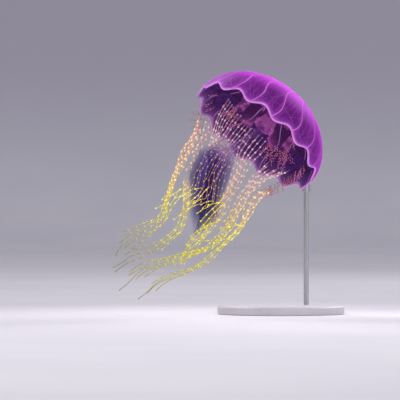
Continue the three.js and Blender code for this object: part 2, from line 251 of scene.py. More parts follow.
def makeStage():
    material, tree = newMaterial("backdropPaper")
    where = objectPlace(tree)
    speckle = place(tree, grain, Where=where, Fineness=3.0)
    floor = ramp(tree, speckle, [(0.3, "#dddbe2"), (0.7, "#e2e0e6")])
    height = addNode(tree, "ShaderNodeSeparateXYZ")
    link(tree, where, height.inputs[0])
    colour = mixColour(tree, ramp(tree, height.outputs[2], [(0.0, 0.0), (0.7, 1.0)]), floor, studio["wall"])
    surface(material, Base_Color=colour, Roughness=0.9, Specular_IOR_Level=0.1)
    profile = [(r, 0) for r in (0.01, 0.4, 0.8, 1.5, 2.5, 4, 5.5, studio["floorRadius"])]
    for i in range(1, 11):
        turn = math.radians(9 * i)
        r = studio["floorRadius"] + studio["turnRadius"] * math.sin(turn)
        profile.append((r, studio["turnRadius"] * (1 - math.cos(turn))))
    profile.append((profile[-1][0], studio["wallHeight"]))
    sides = 96
    angles = np.arange(sides) * 2 * math.pi / sides
    points = [(r * math.cos(a), r * math.sin(a), z) for r, z in profile for a in angles]
    faces = []
    for row in range(len(profile) - 1):
        for k in range(sides):
            here, after = row * sides + k, row * sides + (k + 1) % sides
            faces.append((here, here + sides, after + sides, after))
    faces.append(tuple(range(sides)))
    mesh = bpy.data.meshes.new("backdrop")
    mesh.from_pydata(points, [], faces)
    mesh.polygons.foreach_set("use_smooth", [True] * len(mesh.polygons))
    mesh.materials.append(material)
    backdrop = addObject("backdrop", mesh)


def makeLight(name, place, aim, size, watts, colour, spread=180):
    data = bpy.data.lights.new(name, "AREA")
    data.shape = "DISK"
    data.spread = math.radians(spread)
    data.size = size
    data.energy = watts
    data.color = colour
    lamp = addObject(name, data)
    lamp.location = place
    direction = np.array(aim, float) - np.array(place, float)
    lamp.rotation_euler = Vector(direction).to_track_quat("-Z", "Y").to_euler()


def makeWorld():
    world = bpy.data.worlds.new("softRoom")
    world.use_nodes = True
    background = world.node_tree.nodes["Background"]
    background.inputs["Color"].default_value = linear(studio["world"][0])
    background.inputs["Strength"].default_value = studio["world"][1]
    bpy.context.scene.world = world


makeStage()
makeWorld()
middle = (-0.05, -0.02, 0.2)
makeLight("key", (-1.3, -1.9, 2.1), middle, 1.4, 30, (1, 0.97, 0.95))
makeLight("fill", (1.9, -1.5, 0.9), middle, 1.6, 12, (0.95, 0.96, 1))
makeLight("back", (0.9, 2.0, 1.7), middle, 1.2, 10, (1, 0.95, 1))
# two small soft lights behind the crown, narrow so that little of them reaches the floor
makeLight("crownRight", (0.75, 0.8, 0.85), (0.02, 0, 0.28), 0.5, 0.65, (1, 0.95, 1), 50)
makeLight("crownLeft", (-0.45, 0.7, 0.95), (-0.03, 0, 0.3), 0.5, 0.9, (1, 0.95, 1), 50)
print("stage ready")


# Shapes in the animal's own frame


def leaning():
    a, b = -math.radians(pose["away"]), math.radians(pose["sideways"])
    tip = np.array([[1, 0, 0], [0, math.cos(a), -math.sin(a)], [0, math.sin(a), math.cos(a)]])
    turn = np.array([[math.cos(b), 0, math.sin(b)], [0, 1, 0], [-math.sin(b), 0, math.cos(b)]])
    return turn @ tip


lean = leaning()


def placed(points):
    return (np.asarray(points, float) @ lean.T + np.array(pose["marginCentre"])) / 1000


def ease(x):
    t = np.clip(x, 0, 1)
    return t * t * (3 - 2 * t)


def chance(a, b):  # a repeatable number from 0 to 1
    x = math.sin(a * 12.9898 + b * 78.233 + 3.7) * 43758.5453
    return x - math.floor(x)


def along(table, column, s):  # a smooth value of one column of a table at distance s
    at, value = np.array(table["s"], float), np.array(table[column], float)
    slope = np.empty_like(value)
    slope[1:-1] = (value[2:] - value[:-2]) / (at[2:] - at[:-2])
    slope[0] = (value[1] - value[0]) / (at[1] - at[0])
    slope[-1] = (value[-1] - value[-2]) / (at[-1] - at[-2])
    i = np.clip(np.searchsorted(at, s) - 1, 0, len(at) - 2)
    span = at[i + 1] - at[i]
    t = (s - at[i]) / span
    return (
        (2 * t**3 - 3 * t**2 + 1) * value[i]
        + (t**3 - 2 * t**2 + t) * span * slope[i]
        + (3 * t**2 - 2 * t**3) * value[i + 1]
        + (t**3 - t**2) * span * slope[i + 1]
    )


def polar(radius, angle, z):
    return np.stack(np.broadcast_arrays(radius * np.cos(angle), radius * np.sin(angle), z), -1)


def gridFaces(rows, columns, looped, start=0):
    r, c = np.meshgrid(np.arange(rows - 1), np.arange(columns if looped else columns - 1), indexing="ij")
    here = start + r * columns + c
    after = start + r * columns + (c + 1) % columns
    return np.stack([here, after, after + columns, here + columns], -1).reshape(-1, 4)


def addTube(points, faces, rows, reverse=False):  # joins the rows round and closes both ends
    rows = np.array(rows)
    start = sum(len(p) for p in points)
    points.append(rows.reshape(-1, 3))
    grid = np.arange(rows.shape[0] * rows.shape[1]).reshape(rows.shape[:2]) + start
    for a, b in zip(grid, np.roll(grid, -1, axis=0)):
        for i in range(len(a) - 1):
            quad = (a[i], a[i + 1], b[i + 1], b[i]) if reverse else (a[i + 1], a[i], b[i], b[i + 1])
            faces.append(quad)
    first, last = grid[:, 0], grid[:, -1]
    faces += [tuple(first), tuple(last[::-1])] if reverse else [tuple(first[::-1]), tuple(last)]


def makeMesh(name, points, faces, materials, values=None, faceMaterial=None):
    mesh = bpy.data.meshes.new(name)
    mesh.from_pydata(placed(points).tolist(), [], [tuple(f) for f in faces])
    mesh.polygons.foreach_set("use_smooth", [True] * len(mesh.polygons))
    for material in materials:
        mesh.materials.append(material)
    if faceMaterial is not None:
        mesh.polygons.foreach_set("material_index", np.asarray(faceMaterial, np.int32))
    setValues(mesh, values or {})
    mesh.update()
    return addObject(name, mesh)


def setValues(mesh, values):
    for key, value in values.items():
        value = np.asarray(value, np.float32)
        if value.ndim == 2:
            mesh.attributes.new(key, "FLOAT_VECTOR", "POINT").data.foreach_set("vector", value.ravel())
        else:
            mesh.attributes.new(key, "FLOAT", "POINT").data.foreach_set("value", value.ravel())


# The bell

bell = {
    "radius": 100,
    "height": 79,
    "wallAtMargin": 2.0,
    "wallAtCrown": 10,
    "lobes": 14,
    "lobeTurn": math.radians(2.3),
    "lobeMean": 1,
    "lobeWave": 4.6,
    "ribs": 18,
    "firstRib": math.radians(-11),
    "ribHeight": 0.6,  # how far a rib stands out
    "ribWidth": 0.62,
    "ribGlow": 4.5,  # half width of the painted glow beside a rib
    "twist": math.radians(2.7),  # how far a rib swings to each side of its straight line
    "twistPeriod": 0.56,  # share of the way to the crown for one swing there and back
    "lipRadius": 1.05,
    "lining": (97.6, 69),  # half width and height of the inside, for the pieces that hang there
    "rows": (112, 84),  # of faces from margin to crown, outside and inside
    "lipTurns": (48, 15, -20, -55, -90, -125, -160, -195, -228),  # degrees round the lip
}


def marginHeight(angle):
    return bell["lobeMean"] + bell["lobeWave"] * np.cos(bell["lobes"] * (angle - bell["lobeTurn"]))


def makeBell():
    panel = 360 / bell["ribs"]
    half = np.array([0, 0.25, 0.5, 0.8, 1.3, 2.3, 4.0, 6.0, 8.0])  # close together on the rib
    offsets = np.concatenate([half, [panel / 2], panel - half[:0:-1]])
    ribs = range(bell["ribs"])
    columns = np.concatenate([bell["firstRib"] + np.radians(panel * k + offsets) for k in ribs])
    fromRib = np.tile(np.radians(np.minimum(offsets, panel - offsets)), bell["ribs"])
    acrossPanel = np.tile(offsets / panel, bell["ribs"])
    panelNumber = np.repeat(np.arange(bell["ribs"]), len(offsets))
    inner = {"across": bell["radius"] - bell["wallAtMargin"], "up": bell["height"] - bell["wallAtCrown"]}
    outer = {"across": bell["radius"], "up": bell["height"]}

    def looks(ridge, glow, rise, angle, up):
        return {
            "rib": ridge,
            "glow": glow,
            "rise": np.full(len(columns), rise),
            "streak": polar(1.0, angle, up),
            "panel": np.stack([acrossPanel, 0 * columns + up * 4.1, panelNumber], -1),
        }

    def wall(shape, shares, side):
        rows, extra = [], []
        for share in shares:
            rise = 1 - share
            fade = 1 - ease((rise - 0.5) / 0.38)
            angle = columns + bell["twist"] * math.sin(2 * math.pi * rise / bell["twistPeriod"]) * fade
            foot = marginHeight(angle) + 1.4
            top = np.arccos(np.clip(foot / shape["up"], -1, 1))
            z = shape["up"] * np.cos(top * share)
            radius = shape["across"] * np.sin(top * share)
            distance = fromRib * radius
            upper = 1 - ease((rise - 0.7) / 0.25)
            ridge = np.exp(-((distance / bell["ribWidth"]) ** 2)) * upper
            point = polar(radius, angle, z)
            normal = point / np.array([shape["across"] ** 2, shape["across"] ** 2, shape["up"] ** 2])
            normal /= np.linalg.norm(normal, axis=1)[:, None]
            rows.append(point + normal * (side * bell["ribHeight"] * ridge * (1 - 0.4 * rise))[:, None])
            glow = np.exp(-((distance / bell["ribGlow"]) ** 2)) * upper
            extra.append(looks(ridge, glow, rise, angle, rise))
        return rows, extra

    outShares = np.linspace(0, 1, bell["rows"][0])[1:]
    inShares = np.linspace(1, 0, bell["rows"][1])[:-1]
    outRows, outExtra = wall(outer, outShares, 1)
    inRows, inExtra = wall(inner, inShares, -0.8)
    bead, beadExtra = [], []
    centreRadius = bell["radius"] - bell["wallAtMargin"] / 2
    foot = marginHeight(columns) + 0.7
    for turn in np.radians(bell["lipTurns"]):
        r = centreRadius + bell["lipRadius"] * math.cos(turn)
        bead.append(polar(r, columns, foot + bell["lipRadius"] * math.sin(turn)))
        ridge, glow = (np.exp(-((fromRib * r / bell[width]) ** 2)) for width in ("ribWidth", "ribGlow"))
        beadExtra.append(looks(ridge, glow, -0.01, columns, 0.0))
    rows = outRows + bead + inRows
    count = len(columns)
    points = [np.array([[0, 0, outer["up"]]])] + rows + [np.array([[0, 0, inner["up"]]])]
    points = np.concatenate(points)
    body = gridFaces(len(rows), count, True, 1)
    last = 1 + len(rows) * count
    topFan = [(0, 1 + (k + 1) % count, 1 + k) for k in range(count)]
    innerRing = last - count
    innerFan = [(last, innerRing + k, innerRing + (k + 1) % count) for k in range(count)]
    ends = {"rib": [0], "glow": [0], "rise": [1], "streak": [[0, 0, 1.0]], "panel": [[0.5, 4.1, 0]]}
    extra = outExtra + beadExtra + inExtra
    values = {key: np.concatenate([end, *[row[key] for row in extra], end]) for key, end in ends.items()}
    faces = [tuple(f[::-1]) for f in body.tolist() + topFan + innerFan]
    split = (len(outRows) + len(bell["lipTurns"]) // 2 + 1) * count  # the inner finish starts under the lip
    which = [0 if i < split else 1 for i in range(len(body))] + [0] * count + [1] * count
    return makeMesh("bellSkin", points, faces, [bellOuter(), bellInner()], values, which)


# Fine lines that fan out from the feet of the ribs on both sides of each panel.
def makeFan():
    group, given, mask = newGroup("fan", Panel=None, Lines=7.0, Width=0.03)

    def do(operation, *values):
        return maths(group, operation, *values)

    waver = addNode(group, "ShaderNodeTexNoise")
    giveAll(group, waver, {"Scale": 1.7, "Vector": given["Panel"]})
    split = addNode(group, "ShaderNodeSeparateXYZ")
    link(group, given["Panel"], split.inputs[0])
    shift = do("MULTIPLY", do("SUBTRACT", waver.outputs["Fac"], 0.5), 0.5)
    up = do("ADD", split.outputs[1], shift)
    total = 0.0
    for side in (0, 1):
        across = split.outputs[0] if side == 0 else do("SUBTRACT", 1.0, split.outputs[0])
        number = do("MULTIPLY", do("ARCTAN2", up, do("ADD", across, shift)), given["Lines"])
        off = do("ABSOLUTE", do("SUBTRACT", do("FRACT", number), 0.5))
        squares = [do("MULTIPLY", part, part) for part in (across, up)]
        reach = do("POWER", do("ADD", *squares), 0.5)
        away = do("DIVIDE", do("MULTIPLY", off, reach), given["Lines"])
        line = do("SUBTRACT", 1.0, do("MINIMUM", do("DIVIDE", away, given["Width"]), 1.0))
        which = addNode(group, "ShaderNodeTexWhiteNoise", noise_dimensions="2D")
        joined = addNode(group, "ShaderNodeCombineXYZ")
        link(group, do("FLOOR", number), joined.inputs[0])
        link(group, do("ADD", split.outputs[2], 31.0 * side), joined.inputs[1])
        link(group, joined.outputs[0], which.inputs["Vector"])
        shown = do("MULTIPLY", line, do("POWER", which.outputs["Value"], 1.5))
        total = do("ADD", shown, total)
    link(group, total, mask)
    return group


fan = makeFan()


def bellOuter():
    material, tree = newMaterial("bellJelly")
    rise, rib, streak = attribute(tree, "rise"), attribute(tree, "rib"), attribute(tree, "streak", "Vector")
    # Dark in the panels near the margin and bright magenta towards the crown: the bell's own purple, with
    # the bright crown partly painted rim glow.
    body = ramp(
        tree,
        rise,
        [
            (0.0, "#e0a4e8"), (0.006, "#b062c0"), (0.03, "#75308c"), (0.09, "#5f2074"),
            (0.24, "#5c1a6e"), (0.36, "#7e2890"), (0.52, "#b440c4"), (0.7, "#c446ce"),
            (1.0, "#c04aca"),
        ],
    )
    # A paler band beside each rib is painted glow.
    body = mixColour(tree, times(tree, attribute(tree, "glow"), 0.25), body, "#ac4cbc")
    thread, body = fibred(tree, body, streak, (26.0, 2.2, 0.5), 0.42, 0.75, 0.3, "#bc54cc")
    lines = place(tree, fan, Panel=attribute(tree, "panel", "Vector"), Lines=3.5, Width=0.018)
    fading = ramp(tree, rise, [(0.0, 1.0), (0.4, 0.8), (0.75, 0.0)])
    body = mixColour(tree, times(tree, times(tree, lines, fading), 0.35), body, "#d080dc")
    body = mixColour(tree, times(tree, rib, 0.85), body, "#dc90e2")
    clear = ramp(tree, rise, [(0.0, 1.0), (0.1, 0.94), (0.4, 0.96), (0.8, 1.0)])
    alpha = maths(tree, "MAXIMUM", clear, rib)
    # The lit colour is the body darkened, so that the painted glow of the body carries much of the colour.
    base = mixColour(tree, 1.0, body, "#c4a8c4", "MULTIPLY")
    sheen = {"Sheen_Weight": 1.0, "Sheen_Roughness": 0.42, "Sheen_Tint": "#d844e8"}
    return jelly(material, body, alpha, 0.04, 0.46, bump(tree, thread, 0.2, 0.0005), base, **sheen)


def bellInner():
    material, tree = newMaterial("bellLining")
    rise, rib, streak = attribute(tree, "rise"), attribute(tree, "rib"), attribute(tree, "streak", "Vector")
    lining = [(0.0, "#cc92dc"), (0.03, "#84529c"), (0.1, "#603a82"), (0.24, "#421e5a"), (1.0, "#4c1a52")]
    body = ramp(tree, rise, lining)
    thread, body = fibred(tree, body, streak, (30.0, 3.0, 0.8), 0.45, 0.8, 0.25, "#7c48a0")
    body = mixColour(tree, ramp(tree, rib, [(0.05, 0.0), (0.6, 0.95)]), body, "#d492e0")
    # The lit colour is the body darkened, so that the painted glow of the body carries much of the colour.
    base = mixColour(tree, 1.0, body, "#b4a8b4", "MULTIPLY")
    alpha = maths(tree, "MAXIMUM", 0.96, rib)
    return jelly(material, body, alpha, 0.08, 0.3, bump(tree, thread, 0.2, 0.0006), base)


bellSkin = makeBell()
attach(bellSkin, "root")
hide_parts("bell_dome", "bell_margin")
print("bell", len(bellSkin.data.polygons))


# Stomach and manubrium

gut = {
    "s": [0, 3, 8, 12, 16, 20, 28, 38, 46, 52],  # distance down from the roof of the stomach
    "radius": [20, 25, 27, 25, 20, 15, 11, 10.5, 13, 16],
    "z": [69.5, 67, 62, 57, 54, 51, 43, 33, 24, 18],
    "lobing": 0.16,
    "tubeLobing": 0.14,
    "tubeTop": 14,  # where the stomach narrows into the tube
    "mouthTop": 40,
    "inside": 8,  # rows that turn back into the mouth
    "rows": 80,
    "sides": 96,
    "frill": (1.1, 22),  # size and number of the mouth's frills
    "pleat": (0.35, 36),
}


def makeGut():
    end = gut["s"][-1]
    angle = np.arange(gut["sides"]) * 2 * math.pi / gut["sides"]
    rows, flow = [], []
    (frillSize, frills), (pleatSize, pleats) = gut["frill"], gut["pleat"]
    for s in np.linspace(0, end, gut["rows"]):
        radius, z = along(gut, "radius", s), along(gut, "z", s)
        upper, fourfold = 1 - ease((s - gut["tubeTop"]) / 8), np.cos(4 * angle)
        lobes = upper * gut["lobing"] * fourfold - (1 - upper) * gut["tubeLobing"] * fourfold
        frill = ease((s - gut["mouthTop"]) / 12) * frillSize * np.sin(frills * angle + 0.2 * s)
        pleat = pleatSize * np.sin(pleats * angle + 2.5 * math.sin(s * 0.2))
        radius = radius * (1 + lobes) + frill + pleat
        rows.append(polar(radius, angle, z - ease((s - gut["mouthTop"] - 4) / 8) * 1.5 * fourfold))
        flow.append(polar(1.0, angle, s / end))
    turned = slice(None, -gut["inside"] - 1, -1)
    narrow = np.array([0.84, 0.84, 1])
    inner = [row * narrow + np.array([0, 0, 1.2 * i]) for i, row in enumerate(rows[turned])]
    rows, flow = rows + inner, flow + flow[turned]
    count = len(angle)
    points = np.concatenate(rows)
    faces = [tuple(f[::-1]) for f in gridFaces(len(rows), count, True).tolist()]
    faces.append(tuple(range(count)))
    last = (len(rows) - 1) * count
    faces.append(tuple(last + k for k in range(count))[::-1])
    values = {"streak": np.concatenate(flow), "rise": np.concatenate([f[:, 2] for f in flow])}
    return makeMesh("stomachSkin", points, faces, [gutTissue()], values)


def gutTissue():
    material, tree = newMaterial("gutTissue")
    rise, streak = attribute(tree, "rise"), attribute(tree, "streak", "Vector")
    body = ramp(tree, rise, [(0.0, "#6c2870"), (0.4, "#8c3c8e"), (0.75, "#ac4ea6"), (1.0, "#bc62b4")])
    thread, body = fibred(tree, body, streak, (9.0, 2.0, 1.0), 0.45, 0.8, 0.4, "#cc80c8")
    alpha = ramp(tree, thread, [(0.35, 0.3), (0.75, 0.5)])
    return jelly(material, body, alpha, 0.15, 0.3, bump(tree, thread, 0.4, 0.0008))


gutSkin = makeGut()
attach(gutSkin, "root")
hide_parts("stomach", "manubrium")
print("gut", len(gutSkin.data.polygons))


# Gonads: ruffled horseshoe curtains under the bell

gonad = {
    "count": 4,
    "ring": 44,
    "halfLength": 15,
    "halfWidth": 18,
    "thick": 1.5,
    "sweep": math.radians(125),
    "hem": 20,
    "ruffle": 0.7,
    "folds": 11,
    "steps": 200,  # of the mesh round a horseshoe
    "drops": 16,  # and down its curtain
}


def gonadLine(k, t, offset):  # t runs from -1 to 1 round the horseshoe
    middle = math.radians(45) + 2 * math.pi * k / gonad["count"]
    sweep = t * gonad["sweep"]
    outward = gonad["ring"] + (gonad["halfLength"] + offset) * np.cos(sweep)
    sideways = (gonad["halfWidth"] + offset) * np.sin(sweep)
    c, s = math.cos(middle), math.sin(middle)
    return outward * c - sideways * s, outward * s + sideways * c


def makeGonads():
    steps, drops = gonad["steps"], gonad["drops"]
    across, up = bell["lining"]
    t = np.linspace(-1, 1, steps)
    points, faces, edge, flow, ends = [], [], [], [], []
    for k in range(gonad["count"]):
        x, y = gonadLine(k, t, 0.0)
        roof = up * np.sqrt(np.maximum(0, 1 - (np.hypot(x, y) / across) ** 2)) - 0.4
        ring = []
        for side in (1, -1):
            for j in range(drops) if side > 0 else range(drops - 1, -1, -1):
                down = j / (drops - 1)
                wave = np.sin(t * math.pi * gonad["folds"] + k) + 0.4 * np.sin(t * math.pi * 39 + 2 * k)
                offset = gonad["ruffle"] * wave * down**1.2 + side * gonad["thick"] / 2 * (1 - 0.35 * down)
                x, y = gonadLine(k, t, offset)
                hem = gonad["hem"] + 1.6 * np.sin(t * 9 + k) + 0.5 * np.sin(t * 33)
                ring.append(np.stack([x, y, roof + (hem - roof) * down], -1))
                edge.append(np.full(steps, down))
                flow.append(np.stack([t * 4, t * 0 + k, t * 0 + down * 0.3], -1))
                ends.append(np.abs(t))
        addTube(points, faces, ring, reverse=True)
    values = {"edge": np.concatenate(edge), "streak": np.concatenate(flow), "ends": np.concatenate(ends)}
    return makeMesh("gonadFrills", np.concatenate(points), faces, [gonadTissue()], values)


def gonadTissue():
    material, tree = newMaterial("gonadTissue")
    edge, streak = attribute(tree, "edge"), attribute(tree, "streak", "Vector")
    hem = ramp(tree, edge, [(0.35, 0.0), (0.7, 0.45), (0.88, 1.0), (1.0, 0.15)])
    bright = times(tree, hem, ramp(tree, attribute(tree, "ends"), [(0.1, 0.3), (0.6, 1.0)]))
    body = mixColour(tree, bright, "#6c2c74", "#c062b6")
    thread, body = fibred(tree, body, streak, (16.0, 4.0, 1.0), 0.5, 0.7, 0.4, "#94468c")
    clear = times(tree, bright, ramp(tree, thread, [(0.3, 0.12), (0.65, 0.7)]))
    alpha = maths(tree, "ADD", clear, 0.02)
    return jelly(material, body, alpha, 0.15, 0.35, bump(tree, thread, 0.4, 0.0006))


gonadFrills = makeGonads()
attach(gonadFrills, "root")
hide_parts(*[f"gonad_{k}" for k in range(1, 5)])
print("gonads", len(gonadFrills.data.polygons))


# How everything trails: its depth and height by distance s from the margin, with the half widths of the
# ring of tentacles and how far that ring is tipped up at its +X side.
trail = {
    "s": [-60, 0, 52, 97, 136, 169, 204, 237, 278, 296],
    "y": [0, 0, 0, 3, 7, 18, 33, 50, 74, 85],
    "z": [60, 0, -52, -95, -130, -161, -192, -217, -250, -264],
    "wide": [86, 80, 70, 62, 54, 50, 45, 41, 34, 30],
    "deep": [86, 80, 66, 52, 44, 38, 33, 28, 22, 18],
    "tip": [0, 0, 4, 11, 18, 13, 2, -9, -22, -25],
    "full": 290,  # where the longest tentacles end
}
flick = {"length": 20, "across": -0.55, "deep": -0.1}  # the turn at the ends of the shorter strands


def flickAt(s, tip, more=1.0):  # how far a strand's end has turned aside
    past = np.maximum(0, s - (tip - flick["length"]))
    turned = past * ease(past / 5) * more
    return np.stack([turned * flick["across"], turned * flick["deep"], turned * 0.1], -1)


# Oral arms

arm = {
    "count": 4,
    "start": -17.65,
    "end": 168,
    "turn": math.radians(45),
    "coil": 0.0042,
    "core": 0.8,
    "middle": {"s": [-60, 0, 40, 75, 100, 132, 168], "x": [0, -4, -16, -18, -8, 10, 24]},
    "fold": {"size": 7, "length": 58, "turn": 1.9, "over": 60},
    "frill": {"size": 1.5, "length": 19},
    "ripple": {"size": 0.35, "length": 7.3},
    "step": 0.9,  # of the mesh along an arm
    "halfThick": (1.3, 0.8, 0.5),
    "width": {"s": [-18, 12, 40, 62, 90, 115, 145, 168], "width": [7, 7, 17, 28, 31, 28, 18, 5]},
}


def armLine(s):
    return np.stack([along(arm["middle"], "x", s), along(trail, "y", s), along(trail, "z", s)], -1)


def makeArms():
    s = np.arange(arm["start"], arm["end"], arm["step"])
    shares = np.linspace(0, 1, 17)
    points, faces, edge, flow = [], [], [], []
    for k in range(arm["count"]):
        width = along(arm["width"], "width", s)
        angle = arm["turn"] + 2 * math.pi * k / arm["count"] + arm["coil"] * s
        out, side = polar(1.0, angle, 0.0), polar(1.0, angle + math.pi / 2, 0.0)
        loose = ease((s - arm["start"]) / arm["fold"]["over"])
        wave = np.sin(2 * math.pi * s / arm["fold"]["length"] + arm["fold"]["turn"] * k)
        fold = arm["fold"]["size"] * loose * wave
        uneven = 2.2 * np.sin(s / 17 + k) + 1.1 * np.sin(s / 6.1 + 2 * k)
        frill = arm["frill"]["size"] * np.sin(2 * math.pi * s / arm["frill"]["length"] + uneven)
        ripple = arm["ripple"]["size"] * np.sin(2 * math.pi * s / arm["ripple"]["length"] + 1.7 * uneven)
        ring = []
        for face in (1, -1):
            for share in shares if face > 0 else shares[::-1]:
                thick = face * np.interp(share, [0, 0.55, 1], arm["halfThick"])
                reach = arm["core"] + width * share
                across = fold * share**1.5 + frill * share**2.2 + ripple * share**3 + thick
                ring.append(armLine(s) + out * reach[:, None] + side * across[:, None])
                edge.append(np.full(len(s), share))
                flow.append(np.stack([s * 0 + share + 3 * k, s * 0 + face * 0.1, (s + 20) / 188], -1))
        addTube(points, faces, ring)
    values = {"edge": np.concatenate(edge), "streak": np.concatenate(flow)}
    return makeMesh("oralArms", np.concatenate(points), faces, [armTissue()], values)


def armTissue():
    material, tree = newMaterial("armTissue")
    edge, streak = attribute(tree, "edge"), attribute(tree, "streak", "Vector")
    split = addNode(tree, "ShaderNodeSeparateXYZ")
    link(tree, streak, split.inputs[0])
    # The lavender stops at 0.3 and 0.38 are a painted highlight on the rounded top of the arms' mass; the
    # purple above and the dark violet-blue below are the arms' own colour.
    body = ramp(
        tree,
        split.outputs[2],
        [(0.0, "#7a3c8c"), (0.3, "#8660a8"), (0.38, "#7858ac"),
         (0.46, "#4a347e"), (0.6, "#302460"), (1.0, "#261e50")],
    )
    thread, body = fibred(tree, body, streak, (13.0, 2.2, 0.5), 0.45, 0.7, 0.6, "#5844b0")
    clear = ramp(tree, edge, [(0.0, 0.95), (0.5, 0.85), (0.82, 0.45), (1.0, 0.1)])
    stops = [(0.0, 0.3), (0.2, 0.1), (0.34, 0.2), (0.5, 0.92), (0.78, 0.85), (1.0, 0.1)]
    thin = ramp(tree, split.outputs[2], stops)
    return jelly(material, body, times(tree, clear, thin), 0.15, 0.15, bump(tree, thread, 0.3, 0.0007))


oralArms = makeArms()
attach(oralArms, "root")
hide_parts(*[f"oral_arm_{k}_{end}" for k in range(1, 5) for end in ("upper", "lower")])
print("oral arms", len(oralArms.data.polygons))


# Beaded strands: a tapering thread with beads at an even spacing, from a line of edges


def makeStrandTree():
    tree = bpy.data.node_groups.new("beadedStrand", "GeometryNodeTree")
    face = tree.interface
    face.new_socket("Geometry", in_out="INPUT", socket_type="NodeSocketGeometry")
    for label, kind, value in (
        ("Thread Sides", "NodeSocketInt", 6),
        ("Bead Spacing", "NodeSocketFloat", 0.0115),
        ("Bead Length", "NodeSocketFloat", 1.35),
        ("Bead Segments", "NodeSocketInt", 8),
        ("Material", "NodeSocketMaterial", None),
    ):
        socket = face.new_socket(label, in_out="INPUT", socket_type=kind)
        if value is not None:
            socket.default_value = value
    face.new_socket("Geometry", in_out="OUTPUT", socket_type="NodeSocketGeometry")
    given, result = addNode(tree, "NodeGroupInput"), addNode(tree, "NodeGroupOutput")

    def named(name):
        made = addNode(tree, "GeometryNodeInputNamedAttribute", data_type="FLOAT")
        made.inputs["Name"].default_value = name
        return made.outputs["Attribute"]

    curve = addNode(tree, "GeometryNodeMeshToCurve")
    circle = addNode(tree, "GeometryNodeCurvePrimitiveCircle")
    thread = addNode(tree, "GeometryNodeCurveToMesh")
    spaced = addNode(tree, "GeometryNodeResampleCurve", mode="LENGTH")
    sphere = addNode(tree, "GeometryNodeMeshUVSphere")
    tangent = addNode(tree, "GeometryNodeInputTangent")
    turned = addNode(tree, "FunctionNodeAlignRotationToVector", axis="Z")
    size = addNode(tree, "ShaderNodeCombineXYZ")
    present = addNode(tree, "FunctionNodeCompare", data_type="FLOAT", operation="GREATER_THAN")
    beads = addNode(tree, "GeometryNodeInstanceOnPoints")
    marked = addNode(tree, "GeometryNodeStoreNamedAttribute", data_type="FLOAT", domain="INSTANCE")
    joined = addNode(tree, "GeometryNodeJoinGeometry")
    real = addNode(tree, "GeometryNodeRealizeInstances")
    smooth = addNode(tree, "GeometryNodeSetShadeSmooth")
    finished = addNode(tree, "GeometryNodeSetMaterial")
    giveAll(tree, circle, {"Radius": 1})
    giveAll(tree, sphere, {"Radius": 1, "Rings": 6})
    bead = named("bead")
    giveAll(tree, size, {"X": bead, "Y": bead, "Z": times(tree, bead, given.outputs["Bead Length"])})
    giveAll(tree, present, {"A": bead, "B": 0.0003})  # thinner stretches of a thread carry no beads
    giveAll(tree, thread, {"Scale": named("thick"), "Fill Caps": True})
    marked.inputs["Name"].default_value = "knot"
    giveAll(tree, marked, {"Value": 1})
    for source, output, target, socket in (
        (given, "Geometry", curve, "Mesh"),
        (given, "Thread Sides", circle, "Resolution"),
        (curve, "Curve", thread, "Curve"),
        (circle, "Curve", thread, "Profile Curve"),
        (curve, "Curve", spaced, "Curve"),
        (given, "Bead Spacing", spaced, "Length"),
        (given, "Bead Segments", sphere, "Segments"),
        (tangent, "Tangent", turned, "Vector"),
        (present, "Result", beads, "Selection"),
        (spaced, "Curve", beads, "Points"),
        (sphere, "Mesh", beads, "Instance"),
        (turned, "Rotation", beads, "Rotation"),
        (size, "Vector", beads, "Scale"),
        (beads, "Instances", marked, "Geometry"),
        (marked, "Geometry", joined, "Geometry"),
        (thread, "Mesh", joined, "Geometry"),
        (joined, "Geometry", real, "Geometry"),
        (real, "Geometry", smooth, "Geometry"),
        (smooth, "Geometry", finished, "Geometry"),
        (given, "Material", finished, "Material"),
        (finished, "Geometry", result, "Geometry"),
    ):
        link(tree, source.outputs[output], target.inputs[socket])
    return tree


strandTree = makeStrandTree()


def growStrands(name, lines, material, **sizes):
    points, edges, values = [], [], {"thick": [], "bead": [], "ripe": [], "tone": [], "dim": []}
    start = 0
    for line in lines:
        count = len(line["points"])
        points.append(line["points"])
        edges += [(start + i, start + i + 1) for i in range(count - 1)]
        start += count
        for key in values:
            values[key].append(np.broadcast_to(line[key], count))
    mesh = bpy.data.meshes.new(name + "Lines")
    mesh.from_pydata(placed(np.concatenate(points)).tolist(), edges, [])
    setValues(mesh, {key: np.concatenate(value) for key, value in values.items()})
    guide = addObject(name + "Lines", mesh)
    modifier = guide.modifiers.new("beads", "NODES")
    modifier.node_group = strandTree
    items = strandTree.interface.items_tree
    sockets = {item.name: item.identifier for item in items if item.in_out == "INPUT"}
    for label, value in {"Material": material, **sizes}.items():
        modifier[sockets[label.replace("_", " ")]] = value
    evaluated = guide.evaluated_get(bpy.context.evaluated_depsgraph_get())
    grown = bpy.data.meshes.new_from_object(evaluated)
    grown.name = name
    guide.modifiers.clear()
    bpy.data.objects.remove(guide)
    return addObject(name, grown)


def strandTissue(name, stops, knots, paintedGlow):
    material, tree = newMaterial(name)
    body = ramp(tree, attribute(tree, "ripe"), stops, smooth=False)
    light = ramp(tree, attribute(tree, "ripe"), knots, smooth=False)
    tone = attribute(tree, "tone")
    body = mixColour(tree, times(tree, tone, 0.8), body, "#b87044")
    light = mixColour(tree, times(tree, tone, 0.5), light, "#f0a860")
    body = mixColour(tree, attribute(tree, "knot"), body, light)
    dim = attribute(tree, "dim")
    body = mixColour(tree, dim, body, "#6c3460")
    speckle = place(tree, grain, Where=objectPlace(tree), Fineness=900.0)
    alpha = ramp(tree, dim, [(0.0, 1.0), (1.0, 0.12)], smooth=False)
    # The number passed on to jelly here is the emission strength: a painted glow on the strands.
    return jelly(material, body, alpha, 0.3, paintedGlow, bump(tree, speckle, 0.2, 0.0003), rough=0.4)


# Tentacles: eight bunches from pads round the bell, each with its own line

